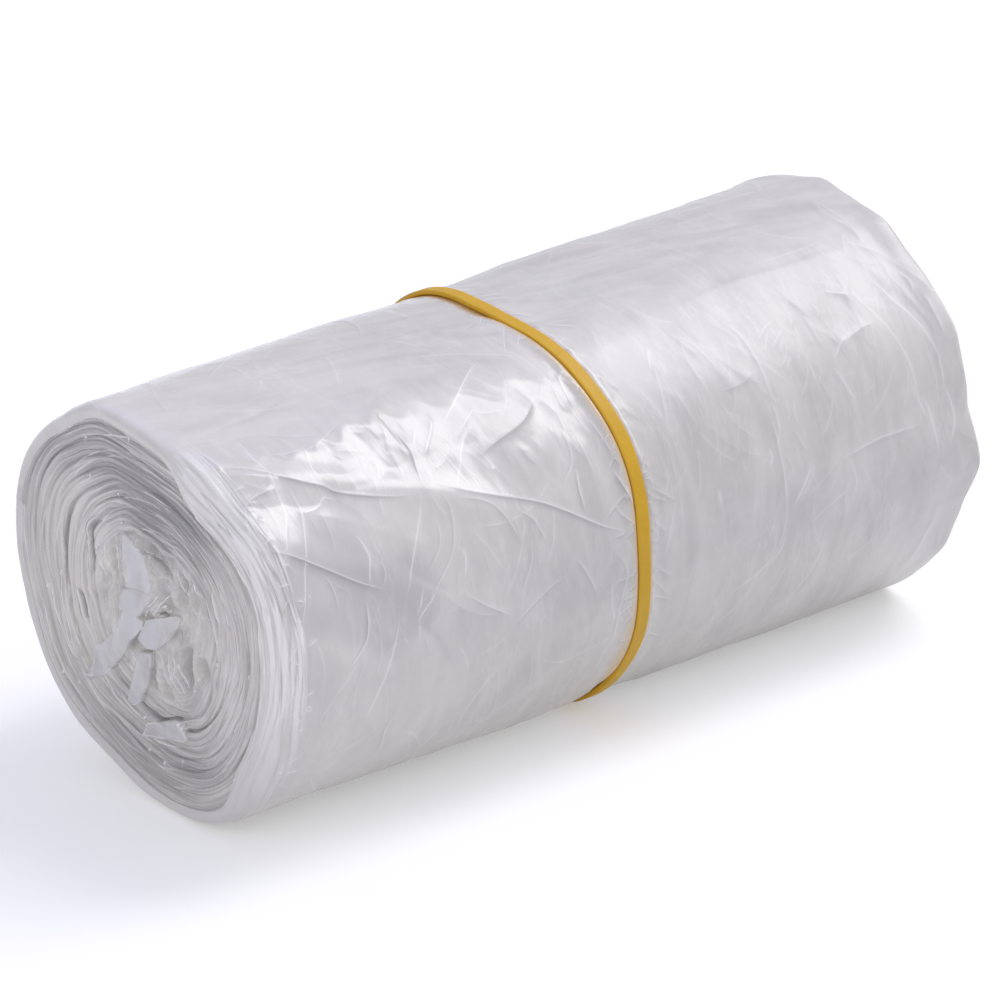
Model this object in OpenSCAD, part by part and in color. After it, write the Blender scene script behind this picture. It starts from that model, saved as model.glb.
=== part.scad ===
// A coreless roll of thin film bin bags, held shut by one rubber band.
// X runs along the roll, +Z is up, and the origin is on the table under mid-length.
// The wound end that shows its turns best faces -X. Clock positions are degrees
// from +Y towards +Z, so 90 is the top of the roll and 270 lies on the table.

/* [Roll] */
// Length of the roll, from rim to rim
roll_length = 150; // [110:1:300]
// Mean radius of the wound web
roll_radius = 35; // [28:0.5:60]
// How far the soft roll sinks where it lies on the table
rest_flattening = 1.4; // [1:0.1:3]
// Height of the step where the free end of the web lies on the roll
tail_step = 0.4; // [0.2:0.1:1]
// Clock position of that free end
tail_angle = 15; // [0:1:359]

/* [Wound ends] */
// Turns of folded bags that can be told apart at an end
turn_count = 7; // [3:1:9]
// Radius of the crumpled heart, where the winding began
heart_radius = 15.5; // [10:0.5:20]
// How far the heart lies towards +Y of the roll's axis
heart_back = 3; // [-5:0.5:5]
// How far the heart hangs below the roll's axis
heart_drop = 3; // [-5:0.5:5]
// Length over which the rim of an end rounds off
lip_length = 3.5; // [2:0.5:8]
// How far the rim is drawn in by that rounding
lip_inset = 1.2; // [0.6:0.1:3]
// Width of the outer turn, from the rim to the first gap
rim_land = 1.2; // [1:0.1:3]
// How deep the turns sink from the rim to the heart
dish_depth = 2.4; // [0:0.2:9]
// Depth of the gap between one turn and the next
turn_gap_depth = 1.2; // [0.6:0.1:3]
// How unevenly the turns stand out of the end
turn_stagger = 0.6; // [0:0.1:1.5]
// Height of the crumpled folds in the heart
heart_crumple = 1.8; // [0:0.1:3]
// Reach of the loose fold of film that stands off the rim at the far end
ear_reach = 3.4; // [0:0.1:5]

/* [Film] */
// Depth of the soft hollows and swells along the film
film_slack = 0.3; // [0:0.05:0.8]
// Height of the long folds that run aslant over the film
fold_height = 0.7; // [0:0.1:1.5]
// Width of one of those folds
fold_width = 6; // [4:0.5:12]
// Depth of the broad waist that the rubber band draws in
waist_depth = 0.6; // [0:0.1:2]
// Height of the pleats beside the rubber band
pleat_height = 0.3; // [0:0.05:0.6]

/* [Rubber band] */
// Width of the band, along the roll
band_width = 2.5; // [1.5:0.1:6]
// Thickness of the band
band_thickness = 1; // [0.6:0.1:2]
// Size of the bevel along the band's edges
band_edge = 0.25; // [0.1:0.05:0.28]
// Place of the band along the roll
band_place = 0; // [-20:1:20]
// Lean of the band, its top towards the near end
band_lean = 2.8; // [0:0.1:6]
// How far the band strays towards the far end on its way round the roll
band_stray = 2.2; // [0:0.1:3]
// Gap between the band and the film that it holds
band_seat_gap = 0.1; // [0.05:0.05:0.3]
// Depth of the groove that the band bites into the film
band_bite = 0.3; // [0.1:0.1:1]

/* [Hidden] */

film_colour = [0.84, 0.84, 0.86];
band_colour = [0.86, 0.66, 0.12];

// Points round the roll. The last and the first stand close together, as the step
// of the free end lies between them.
segments = 60;
step_angle = 1;

// Radius of the soft section every 30 degrees of the clock, as a share of
// roll_radius: at the near end, at mid-length and at the far end
near_shape = [1.00, 1.06, 1.04, 0.95, 0.95, 1.04, 1.03, 1.01, 1.02, 0.95, 0.90, 0.95];
middle_shape = [1.00, 1.05, 1.06, 0.99, 1.02, 1.06, 1.05, 1.03, 1.055, 1.02, 0.98, 0.98];
far_shape = [1.02, 1.04, 1.06, 1.06, 1.03, 1.03, 1.03, 1.02, 1.05, 1.01, 0.98, 0.99];

// Where the band has strayed to every 30 degrees of the clock, as a share of band_stray
band_path = [0, 0, 0, -0.1, 0.65, 0.87, 0.3, 1, 0.6, 0.2, 0, 0];

// The film's long folds: place along the roll as a share of half its length, clock
// position, heading away from the roll's axis, and half the length in millimetres
folds = [
    [-0.62, 137, 25, 26],
    [-0.60, 167, 31, 30],
    [-0.30, 205, -35, 18],
    [0.32, 112, -20, 22],
    [0.45, 172, 40, 20],
    [0.80, 150, 80, 24],
    [-0.45, 35, -30, 24],
    [0.40, 10, 35, 26],
    [-0.50, 330, 30, 22],
    [0.55, 300, -40, 20]];

// The loose fold at the far rim: its clock position and half its width in degrees
ear_angle = 184;
ear_width = 20;

// Height of the roll's axis over the table, and the planes of the two rims
axis_height = roll_radius - rest_flattening;
near_x = -roll_length / 2;
far_x = roll_length / 2;

// The groove is a little wider than the band, and its shoulders slope beyond that.
// At the bottom it is deep enough to keep the band off the table.
band_side_gap = 0.4;
band_table_gap = 0.2;
shoulder_width = 1.6;
pleat_length = 5;
groove_half = band_width / 2 + band_side_gap;
shoulder_half = groove_half + shoulder_width;
pleat_half = shoulder_half + pleat_length;
groove_floor = band_thickness + band_seat_gap + band_table_gap;
waist_reach = 14;
pleat_count = 15;

function mix(a, b, share) = a + (b - a) * share;
function smooth(share) = let (s = min(1, max(0, share))) s * s * (3 - 2 * s);
function apart(a, b) = (a - b + 900) % 360 - 180;
function clock(i) = tail_angle + (360 - step_angle) * (i % segments) / (segments - 1);

// A smooth closed curve through the values of a list, read at an angle
function item(list, i) = list[(i % len(list) + len(list)) % len(list)];
function curve(a, b, c, d, t) =
    b + t * (c - a + t * (2 * a - 5 * b + 4 * c - d + t * (3 * b - a - 3 * c + d))) / 2;
function around(list, angle) =
    let (place = angle * len(list) / 360, i = floor(place))
    curve(item(list, i - 1), item(list, i), item(list, i + 1), item(list, i + 2), place - i);

// The soft section at a place x along the roll
function section(x, angle) =
    let (share = 2 * (x - near_x) / roll_length)
    share < 1
        ? mix(around(near_shape, angle), around(middle_shape, angle), smooth(share))
        : mix(around(middle_shape, angle), around(far_shape, angle), smooth(share - 1));

// 1 inside the groove, falling to 0 at its shoulders
function groove(x) =
    1 - smooth((abs(x - band_place) - groove_half) / (shoulder_half - groove_half));
function waist(x) = exp(-pow((x - band_place) / waist_reach, 2));

// Pleats stand beside the band and die away from it
function pleats(x, i) =
    let (off = abs(x - band_place))
    off < groove_half || off > pleat_half
        ? 0
        : sin(360 * pleat_count * i / segments)
          * (1 - groove(x)) * (pleat_half - off) / (pleat_half - shoulder_half);

// Slow swells that run aslant, as slack film does
function swell(x, angle) = sin(2 * angle + 2.1 * x) * sin(3 * angle - 3.4 * x + 50);

// One long fold, as a soft ridge on the unrolled film
function fold_ridge(x, angle, fold) =
    let (
        along = x - fold[0] * roll_length / 2,
        round = apart(angle, fold[1]) * PI / 180 * roll_radius,
        u = along * cos(fold[2]) + round * sin(fold[2]),
        v = round * cos(fold[2]) - along * sin(fold[2]))
    exp(-pow(2 * v / fold_width, 2) - pow(u / fold[3], 4));
function fold_sum(x, angle, k = 0) =
    k == len(folds) ? 0 : fold_ridge(x, angle, folds[k]) + fold_sum(x, angle, k + 1);

// The outer turn lies over the whole roll, and thins away from its free end
function tail(i) = tail_step * (0.5 - (i % segments) / (segments - 1));

// The film's radius where nothing stops it. The floor of the groove is level
// across its width, so the band seats on it squarely.
function free_radius(x, i) =
    let (at = abs(x - band_place) <= groove_half ? band_place : x, angle = clock(i))
    roll_radius * section(at, angle)
    + tail(i)
    - band_bite * groove(at)
    - waist_depth * waist(at)
    + (1 - groove(at)) * (film_slack * swell(at, angle) + fold_height * fold_sum(at, angle))
    + pleat_height * pleats(at, i);

// The table stops the film, and the band needs its own room above the table
function under_table(r, i, room) =
    let (down = -sin(clock(i)))
    down > 0.1 ? min(r, room / down) : r;
function film_radius(x, i) =
    under_table(free_radius(x, i), i, axis_height - groove_floor * groove(x));

// Places of the rings along the skin. The first and last are the crests of the
// rims, and those beside them round off the lips.
body_rings = 9;
lip_shoulder = 0.3;
skin_places = concat(
    [near_x, near_x + lip_length * lip_shoulder],
    [for (k = [0 : body_rings - 1])
        mix(near_x + lip_length, band_place - pleat_half, k / body_rings)],
    [for (off = [-pleat_half, -shoulder_half, -groove_half,
        groove_half, shoulder_half, pleat_half]) band_place + off],
    [for (k = [1 : body_rings])
        mix(band_place + pleat_half, far_x - lip_length, k / body_rings)],
    [far_x - lip_length * lip_shoulder, far_x]);
ring_count = len(skin_places);

// How far a ring of the skin is drawn in: all of it at a crest, part of it beside one
function inset_at(ring) =
    let (from_end = min(ring, ring_count - 1 - ring))
    from_end == 0 ? lip_inset : from_end == 1 ? lip_inset * lip_shoulder : 0;

// The loose fold of film stands off the last three rings at the far end
ear_share = [0.7, 1, 0.35];
function ear(ring, i) =
    let (off = apart(clock(i), ear_angle) / ear_width, back = ring_count - 1 - ring)
    back >= len(ear_share) ? 0 : ear_reach * exp(-off * off) * ear_share[back];

function skin_radius(ring, i) =
    under_table(film_radius(skin_places[ring], i) - inset_at(ring) + ear(ring, i), i, axis_height);

// The axis stands a little off the origin, which is under the middle of the outline
skin_sides = [for (ring = [0 : ring_count - 1], i = [0 : segments - 1])
    skin_radius(ring, i) * cos(clock(i))];
axis_y = -(min(skin_sides) + max(skin_sides)) / 2;

// A point at radius r, in a section that leans and strays with the band near mid-length
function inland(x) = 1 - pow(2 * abs(x) / roll_length, 2);
function film_point(x, i, r) =
    let (up = r * sin(clock(i)),
        shift = band_stray * around(band_path, clock(i)) - tan(band_lean) * up)
    [x + inland(x) * shift, axis_y + r * cos(clock(i)), axis_height + up];

// An end's turns follow one spiral line, which is the bottom of the gap between
// turns. A place on an end is a share of the rim's radius there. The turns take
// the room between the rim's land and the heart, less a little at each side.
rim_radius = roll_radius - lip_inset;
heart_share = heart_radius / rim_radius;
first_gap = 1 - rim_land / rim_radius;
wander = 0.14;
turn_share = (first_gap - heart_share) / (turn_count + 2 * wander);
line_steps = turn_count * segments;
ridge_steps = line_steps - segments;

// The cross-section of one turn: how far across it lies, and how deep, from gap to gap
turn_profile = [[0, 1], [0.26, 0.16], [0.56, 0], [0.84, 0.3]];
turn_points = len(turn_profile);

// Film is wound nowhere quite evenly: the gap wanders, and the turns stand out of
// the end by different amounts. Both follow the turns wound, without a jump.
function gap_wander(turns) = wander * sin(1210 * turns) * sin(97 * turns);
function stagger(turns) =
    turn_stagger * (1 + sin(205 * turns) + 0.4 * sin(820 * turns)) * smooth(turns);
function turn_place(turns, across) =
    first_gap - turn_share * (wander + turns + across
        + mix(gap_wander(turns), gap_wander(turns + 1), across));

// A point on an end, at a share of the rim's radius and a depth under its crest.
// side is -1 at the near end and 1 at the far end. The turns shift towards the
// heart's own middle, which is off the roll's axis.
function end_point(side, i, share, depth) =
    let (x = side * roll_length / 2,
        rim = under_table(roll_radius * section(x, clock(i)), i, axis_height) - lip_inset)
    film_point(x - side * depth, i, rim * share) + (1 - share) * [0, heart_back, -heart_drop];

function dish(share) = dish_depth * smooth((first_gap - share) / (first_gap - heart_share));
function turn_point(side, step, k) =
    let (turns = step / segments, share = turn_place(turns, turn_profile[k][0]))
    end_point(side, step, share,
        dish(share) + turn_gap_depth * turn_profile[k][1] + stagger(turns));

// The heart: rings that close in on the middle, over a crumpled surface of folds
heart_rings = 6;
heart_floor = dish_depth + turn_gap_depth;
function crumple(y, z, side) =
    heart_crumple * sin(38 * y + 16 * z + 70 * side) * cos(30 * z - 12 * y + 20 * side);
function heart_point(side, ring, i) =
    let (share = heart_share * (1 - ring / heart_rings),
        reach = rim_radius * share,
        edge = smooth(2 * ring / heart_rings))
    end_point(side, i, share, heart_floor
        + edge * crumple(reach * cos(clock(i)), reach * sin(clock(i)), side));

// The points of one end, in the order that the index functions below count on
function end_points(side) = concat(
    [for (step = [0 : line_steps]) turn_point(side, step, 0)],
    [for (step = [0 : ridge_steps], k = [1 : turn_points - 1]) turn_point(side, step, k)],
    [for (ring = [0 : heart_rings - 1], i = [0 : segments - 1]) heart_point(side, ring, i)],
    [end_point(side, 0, 0, heart_floor + crumple(0, 0, side))]);
skin_size = ring_count * segments;
line_size = line_steps + 1;
end_size = line_size + (ridge_steps + 1) * (turn_points - 1) + heart_rings * segments + 1;

function skin_index(ring, i) = ring * segments + i % segments;
function turn_index(base, step, k) =
    k == 0 ? base + step
    : k == turn_points ? base + step + segments
    : base + line_size + step * (turn_points - 1) + k - 1;
function heart_index(base, ring, i) =
    base + end_size - 1 - (heart_rings - ring) * segments + i % segments;

// Two triangles for the cell between four points, counted clockwise from outside
function cell(a, b, c, d) = [[a, b, c], [a, c, d]];
function joined(lists) = [for (list = lists, entry = list) entry];
function turned(faces) = [for (f = faces) [f[0], f[2], f[1]]];

skin_faces = joined([for (ring = [0 : ring_count - 2], i = [0 : segments - 1])
    cell(skin_index(ring, i), skin_index(ring + 1, i),
        skin_index(ring + 1, i + 1), skin_index(ring, i + 1))]);

// The faces of one end: the rim runs into the outer turn, the turns follow each
// other inwards, and the last one runs into the heart. Where the winding starts
// and stops, a fan of triangles closes the step of one turn.
function end_faces(base, rim_ring) = concat(
    joined([for (i = [0 : segments - 1])
        cell(skin_index(rim_ring, i), skin_index(rim_ring, i + 1),
            turn_index(base, i + 1, 0), turn_index(base, i, 0))]),
    [for (k = [0 : turn_points - 1])
        [skin_index(rim_ring, 0), turn_index(base, 0, k), turn_index(base, 0, k + 1)]],
    joined([for (step = [0 : ridge_steps - 1], k = [0 : turn_points - 1])
        cell(turn_index(base, step, k), turn_index(base, step + 1, k),
            turn_index(base, step + 1, k + 1), turn_index(base, step, k + 1))]),
    [for (k = [0 : turn_points - 1])
        [heart_index(base, 0, 0), turn_index(base, ridge_steps, k + 1),
            turn_index(base, ridge_steps, k)]],
    joined([for (i = [0 : segments - 1])
        cell(turn_index(base, ridge_steps + i, 0), turn_index(base, ridge_steps + i + 1, 0),
            heart_index(base, 0, i + 1), heart_index(base, 0, i))]),
    joined([for (ring = [0 : heart_rings - 2], i = [0 : segments - 1])
        cell(heart_index(base, ring, i), heart_index(base, ring, i + 1),
            heart_index(base, ring + 1, i + 1), heart_index(base, ring + 1, i))]),
    [for (i = [0 : segments - 1])
        [heart_index(base, heart_rings - 1, i), heart_index(base, heart_rings - 1, i + 1),
            base + end_size - 1]]);

// The whole roll is one closed skin: the wound side and its two ends
module bag_roll() {
    near_base = skin_size;
    far_base = skin_size + end_size;
    color(film_colour)
        polyhedron(
            points = concat(
                [for (ring = [0 : ring_count - 1], i = [0 : segments - 1])
                    film_point(skin_places[ring], i, skin_radius(ring, i))],
                end_points(-1),
                end_points(1)),
            faces = concat(
                skin_faces,
                end_faces(near_base, 0),
                turned(end_faces(far_base, ring_count - 1))),
            convexity = 6);
}

// The band's section: how far along the roll and how far out from its seat
half_band = band_width / 2;
band_section = [
    [-half_band + band_edge, 0],
    [half_band - band_edge, 0],
    [half_band, band_edge],
    [half_band, band_thickness - band_edge],
    [half_band - band_edge, band_thickness],
    [-half_band + band_edge, band_thickness],
    [-half_band, band_thickness - band_edge],
    [-half_band, band_edge]];

// The band lies over the floor of its groove, with the same seat gap all round
function band_point(i, corner) =
    film_point(band_place, i, film_radius(band_place, i) + band_seat_gap + corner[1])
    + [corner[0], 0, 0];

module rubber_band() {
    corners = len(band_section);
    color(band_colour)
        polyhedron(
            points = [for (i = [0 : segments - 1], corner = band_section) band_point(i, corner)],
            faces = joined([for (i = [0 : segments - 1], k = [0 : corners - 1])
                let (here = i * corners,
                    next = (i + 1) % segments * corners,
                    after = (k + 1) % corners)
                cell(here + k, next + k, next + after, here + after)]),
            convexity = 4);
}

bag_roll();
rubber_band();
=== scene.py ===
# %% [markdown]
# # Dressing a roll of bin bags
# The frame holds a plain closed solid for the wound bags and another for the rubber
# band. This lesson gives them their looks: a skin of creased film, the layers and the
# crumpled heart at both ends, a stretched rubber band, two materials and a small
# studio. The frame's solids stay as they are, and the pieces made here stand in for
# them in the picture.

# %% Load the frame
import math

import bpy
import numpy as np
from mathutils import Matrix, Quaternion, Vector


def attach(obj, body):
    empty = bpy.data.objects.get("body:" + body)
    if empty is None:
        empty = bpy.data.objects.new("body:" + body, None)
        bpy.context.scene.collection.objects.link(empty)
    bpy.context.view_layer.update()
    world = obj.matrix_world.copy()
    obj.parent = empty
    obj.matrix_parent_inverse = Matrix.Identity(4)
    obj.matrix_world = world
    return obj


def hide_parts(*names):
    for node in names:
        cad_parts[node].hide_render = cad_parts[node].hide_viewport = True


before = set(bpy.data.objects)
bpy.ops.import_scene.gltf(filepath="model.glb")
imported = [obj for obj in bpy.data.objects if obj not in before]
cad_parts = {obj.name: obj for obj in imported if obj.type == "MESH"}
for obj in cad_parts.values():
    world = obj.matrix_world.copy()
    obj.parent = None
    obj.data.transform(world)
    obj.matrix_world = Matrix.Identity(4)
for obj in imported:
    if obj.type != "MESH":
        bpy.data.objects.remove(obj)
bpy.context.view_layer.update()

bpy.ops.object.select_all(action="DESELECT")
print("nodes:", ", ".join(sorted(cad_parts)))

# %% [markdown]
# ## The camera and the studio
# The roll is seen from its near end and a little above, through a long lens, so that
# its edges stay almost parallel. The camera comes first, because every later choice is
# judged through it. A softbox above and to the right leaves the broad bright zone along
# the film. The world fills in the rest, and the floor stays white with a faint shadow.

# %% The camera
AXIS_Y = 1.644
AXIS_HEIGHT = 33.6
AZIMUTH, ELEVATION = math.radians(-39.8), math.radians(24.7)
DISTANCE = 1.385
FOCAL_IN_PICTURES = 8.2

target = Vector((0, AXIS_Y / 1000, 0.033))
backward = Vector((math.sin(AZIMUTH) * math.cos(ELEVATION),
                   -math.cos(AZIMUTH) * math.cos(ELEVATION), math.sin(ELEVATION)))
rightward = Vector((math.cos(AZIMUTH), math.sin(AZIMUTH), 0))
upward = backward.cross(rightward)

bpy.ops.object.camera_add(location=target + DISTANCE * backward)
camera = bpy.context.object
camera.rotation_euler = Matrix((rightward, upward, backward)).transposed().to_euler()
camera.data.sensor_width = 36
camera.data.lens = 36 * FOCAL_IN_PICTURES
camera.data.clip_start, camera.data.clip_end = 0.05, 20
bpy.context.scene.camera = camera
print("lens in mm:", round(camera.data.lens, 1))

# %% The softboxes


def softbox(name, toward, distance, size, strength, colour, turned=0):
    """An area lamp that looks back at the middle of the roll."""
    toward = Vector(toward).normalized()
    bpy.ops.object.light_add(type="AREA", location=target + distance * toward)
    lamp = bpy.context.object
    lamp.name = name
    facing = toward.to_track_quat("Z", "X") @ Quaternion((0, 0, 1), math.radians(turned))
    lamp.rotation_euler = facing.to_euler()
    lamp.data.shape = "RECTANGLE"
    lamp.data.size, lamp.data.size_y = size
    lamp.data.color = colour
    # The power that gives the lamp's face a plain brightness, whatever its size.
    lamp.data.energy = strength * math.pi * size[0] * size[1]
    lamp.visible_camera = False


softbox("key_softbox", (0.58, -0.125, 0.804), 1.3, (0.9, 0.46), 4.9, (1, 0.985, 0.96))
softbox("key_halo", (0.58, 0.10, 0.808), 1.5, (1.1, 0.80), 0.9, (0.98, 0.98, 1))
softbox("side_softbox", (0.58, -0.62, 0.53), 1.3, (0.9, 1.0), 0.5, (1, 0.985, 0.96))
# A cool light from behind, for the lilac tone along the top.
softbox("top_softbox", (0.1, 0.58, 0.81), 1.5, (1.1, 0.9), 0.72, (0.60, 0.575, 1))
# A tall strip at the left, which draws bright lines on the rolled rim.
softbox("rim_strip", (-0.80, -0.20, 0.56), 1.6, (1.1, 0.28), 4.0, (1, 1, 1), 48)
softbox("lip_strip", (-0.80, -0.56, 0.20), 1.5, (0.42, 0.42), 3.4, (1, 0.99, 0.97))

# %% [markdown]
# ## Shader maths that reads like maths
# A material is a graph of nodes, and a graph is slow to read as code. The two classes
# below let a mask be written as a formula: Wire wraps an output, and each operator on it
# adds one Math node. Graph makes any other node in one call.

# %% The shader helpers


class Wire:
    """A number that varies over a surface, as the output of a node."""

    def __init__(self, graph, socket):
        self.graph, self.socket = graph, socket

    def maths(self, operation, *values, clamp=False):
        return self.graph.add("ShaderNodeMath", dict(enumerate(values)),
                              operation=operation, use_clamp=clamp)

    def __add__(self, other): return self.maths("ADD", self, other)
    def __radd__(self, other): return self.maths("ADD", other, self)
    def __sub__(self, other): return self.maths("SUBTRACT", self, other)
    def __rsub__(self, other): return self.maths("SUBTRACT", other, self)
    def __mul__(self, other): return self.maths("MULTIPLY", self, other)
    def __rmul__(self, other): return self.maths("MULTIPLY", other, self)
    def __abs__(self): return self.maths("ABSOLUTE", self)
    def or_more(self, other): return self.maths("MAXIMUM", self, other)
    def clamped(self): return self.maths("ADD", self, 0.0, clamp=True)


class Graph:
    """The nodes of one material or world."""

    def __init__(self, tree):
        self.tree = tree
        tree.nodes.clear()

    def add(self, kind, inputs=None, output=0, **settings):
        """A node: its settings first, then the values or links of its inputs."""
        node = self.tree.nodes.new(kind)
        for name, value in settings.items():
            if name == "stops":
                while len(node.color_ramp.elements) < len(value):
                    node.color_ramp.elements.new(1.0)
                for element, (place, colour) in zip(node.color_ramp.elements, value):
                    element.position, element.color = place, (*colour, 1)
            else:
                setattr(node, name, value)
        for name, value in (inputs or {}).items():
            socket = node.inputs[name]
            if isinstance(value, Wire):
                self.tree.links.new(value.socket, socket)
            else:
                socket.default_value = value
        return Wire(self, node.outputs[output]) if len(node.outputs) else None

    def colours(self, factor, first, second):
        """The second colour over the first one, as strongly as factor says."""
        first, second = ((*c, 1) if isinstance(c, tuple) else c for c in (first, second))
        return self.add("ShaderNodeMix", {0: factor, 6: first, 7: second}, 2, data_type="RGBA")

    def attribute(self, name, output="Fac"):
        """A value stored on the mesh for each point."""
        return self.add("ShaderNodeAttribute", output=output, attribute_name=name)

    def split(self, vector):
        """The three numbers of a vector."""
        first = self.add("ShaderNodeSeparateXYZ", {0: vector})
        return [Wire(self, socket) for socket in first.socket.node.outputs]

    def ray(self, kind):
        """1 for one kind of ray, and 0 for all the others."""
        return self.add("ShaderNodeLightPath", output=f"Is {kind} Ray")

    def scaled(self, vector, scale):
        """Coordinates stretched by a Mapping node."""
        return self.add("ShaderNodeMapping", {"Vector": vector, "Scale": scale})

    def noise(self, vector, scale, detail=4.0, roughness=0.5, distortion=0.0):
        return self.add("ShaderNodeTexNoise", {
            "Vector": vector, "Scale": scale, "Detail": detail,
            "Roughness": roughness, "Distortion": distortion})


def material(name):
    """A new material and its empty graph."""
    made = bpy.data.materials.new(name)
    made.use_nodes = True
    return made, Graph(made.node_tree)


# %% The floor and the world
WHITE_FLOOR_ALBEDO = 0.8
FLOOR_LIFT = 0.32

world = bpy.context.scene.world or bpy.data.worlds.new("studio")
bpy.context.scene.world = world
world.use_nodes = True
air = Graph(world.node_tree)
aloft = air.split(air.add("ShaderNodeTexCoord", output="Generated"))[2]
sky = air.add("ShaderNodeValToRGB", {"Fac": aloft * 0.5 + 0.5}, stops=[
    (0.0, (0.42, 0.42, 0.42)), (0.7, (0.42, 0.42, 0.42)), (1.0, (0.345, 0.348, 0.53))])
# White where the camera looks, and half way there in the film's gloss.
seen = air.ray("Camera").or_more(air.ray("Glossy") * 0.45).or_more(air.ray("Transmission"))
backdrop = air.add("ShaderNodeBackground", {
    "Color": air.colours(seen, sky, (1.0, 1.0, 1.0)), "Strength": 1.0})
air.add("ShaderNodeOutputWorld", {"Surface": backdrop})

bpy.ops.mesh.primitive_plane_add(size=6)
floor = bpy.context.object
floor.name = "floor"
floor_white, g = material("floor_white")
shade = g.add("ShaderNodeBsdfDiffuse", {"Color": (WHITE_FLOOR_ALBEDO,) * 3 + (1,)})
lift = g.add("ShaderNodeEmission", {"Color": (1, 1, 1, 1), "Strength": FLOOR_LIFT})
dark = g.add("ShaderNodeEmission", {"Color": (0, 0, 0, 1)})
# The lift whitens the floor for the camera and in the gloss, and puts no light on the film.
shown = g.ray("Camera").or_more(g.ray("Glossy"))
glow = g.add("ShaderNodeMixShader", {0: shown, 1: dark, 2: lift})
g.add("ShaderNodeOutputMaterial", {"Surface": g.add("ShaderNodeAddShader", {0: shade, 1: glow})})
floor.data.materials.append(floor_white)

scene = bpy.context.scene
scene.view_settings.view_transform = "Standard"

# %% [markdown]
# ## The form that the pieces share
# The roll isn't a true cylinder: soft film sinks on the table, bulges where nothing
# holds it and has a waist at the band. The same few driving values as in the part's
# source give that form here, so a finer skin can follow the solid exactly. Angles are
# clock positions in degrees, from +Y towards +Z, and lengths are in millimetres.

# %% The roll's soft section
LENGTH, RADIUS = 150.0, 35.0
TAIL_STEP, TAIL_ANGLE = 0.4, 15.0
LIP_INSET = 1.2
# The radius as a share of RADIUS, every 30 degrees from +Y, at both ends and mid-length.
NEAR_SHAPE = [1.00, 1.06, 1.04, 0.95, 0.95, 1.04, 1.03, 1.01, 1.02, 0.95, 0.90, 0.95]
MIDDLE_SHAPE = [1.00, 1.05, 1.06, 0.99, 1.02, 1.06, 1.05, 1.03, 1.055, 1.02, 0.98, 0.98]
FAR_SHAPE = [1.02, 1.04, 1.06, 1.06, 1.03, 1.03, 1.03, 1.02, 1.05, 1.01, 0.98, 0.99]
FILM_SLACK, FOLD_HEIGHT, FOLD_WIDTH = 0.3, 0.7, 6.0
# Each fold's place as a share of half the length, clock position, heading and half length.
LONG_FOLDS = [(-0.62, 137, 25, 26), (-0.60, 167, 31, 30), (-0.30, 205, -35, 18),
              (0.32, 112, -20, 22), (0.45, 172, 40, 20), (0.80, 150, 80, 24),
              (-0.45, 35, -30, 24), (0.40, 10, 35, 26), (-0.50, 330, 30, 22),
              (0.55, 300, -40, 20)]
WAIST_DEPTH, WAIST_REACH = 0.6, 14.0
BAND_WIDTH, BAND_THICKNESS, BAND_LEAN, BAND_STRAY = 2.5, 1.0, 2.8, 2.2
# How far the band strays towards the far end, as a share of BAND_STRAY, every 30 degrees.
BAND_PATH = [0, 0, 0, -0.1, 0.65, 0.87, 0.3, 1, 0.6, 0.2, 0, 0]
BAND_BITE, BAND_SEAT_GAP = 0.3, 0.1
GROOVE_HALF, GROOVE_SHOULDER = 1.65, 1.6
GROOVE_FLOOR = 1.3
# How far film stands out at each rim, in mm, at clock positions.
NEAR_FLARE = [(0, 1.7), (12, 1.5), (30, 1.2), (38, 0.9), (50, 0.1), (60, 0.4), (68, 1.0),
              (80, 0.2), (100, 0), (285, 0), (296, 0.7), (303, 1.5), (310, 2.0), (322, 2.0),
              (338, 1.5), (350, 1.1), (360, 1.7)]
FAR_FLARE = [(0, 0.4), (60, 0.3), (80, 0.5), (87, 1.3), (93, 0.5), (101, 0.7), (111, 2.0),
             (121, 1.0), (137, 1.8), (147, 2.9), (154, 1.9), (160, 1.2), (168, 0.7),
             (174, 2.0), (182, 3.6), (190, 2.1), (196, 1.3), (206, 1.0), (214, 1.5),
             (228, 0.6), (250, 0), (290, 0.5), (330, 0.8), (360, 0.4)]
# How far the heart of an end lies back and down from the rim's middle, and its radius.
HEART_BACK, HEART_DROP, HEART_RADIUS = 3.0, 3.0, 15.5
# The long folds lie flatter beyond the band.
FAR_FOLD_SHARE = 0.2

# %% Helpers for curves and steps


def smooth(share):
    """A soft step from 0 to 1."""
    share = np.clip(share, 0, 1)
    return share * share * (3 - 2 * share)


def apart(a, b):
    """The signed difference between two clock positions."""
    return (a - b + 900) % 360 - 180


def between(a, b, c, d, t):
    """A smooth curve from b to c, t of the way along it. a and d are their neighbours."""
    return b + t * (c - a + t * (2 * a - 5 * b + 4 * c - d + t * (3 * b - a - 3 * c + d))) / 2


def around(values, angle):
    """A smooth closed curve through values, read at an angle."""
    values = np.asarray(values)
    place = np.asarray(angle) * len(values) / 360
    i = np.floor(place).astype(int)
    a, b, c, d = (values[(i + k) % len(values)] for k in (-1, 0, 1, 2))
    return between(a, b, c, d, place - i)


# %% The side of the roll


def section(x, angle):
    """The radius at a place, as a share of RADIUS."""
    share = 2 * x / LENGTH + 1
    near, middle, far = (around(v, angle) for v in (NEAR_SHAPE, MIDDLE_SHAPE, FAR_SHAPE))
    return np.where(share < 1, near + (middle - near) * smooth(share),
                    middle + (far - middle) * smooth(share - 1))


def groove(x):
    """1 in the band's seat and 0 away from it."""
    return 1 - smooth((np.abs(x) - GROOVE_HALF) / GROOVE_SHOULDER)


def tail(angle):
    """The outer turn thins away from its free end."""
    return TAIL_STEP * (0.5 - np.clip(((angle - TAIL_ANGLE) % 360) / 359, 0, 1))


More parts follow.
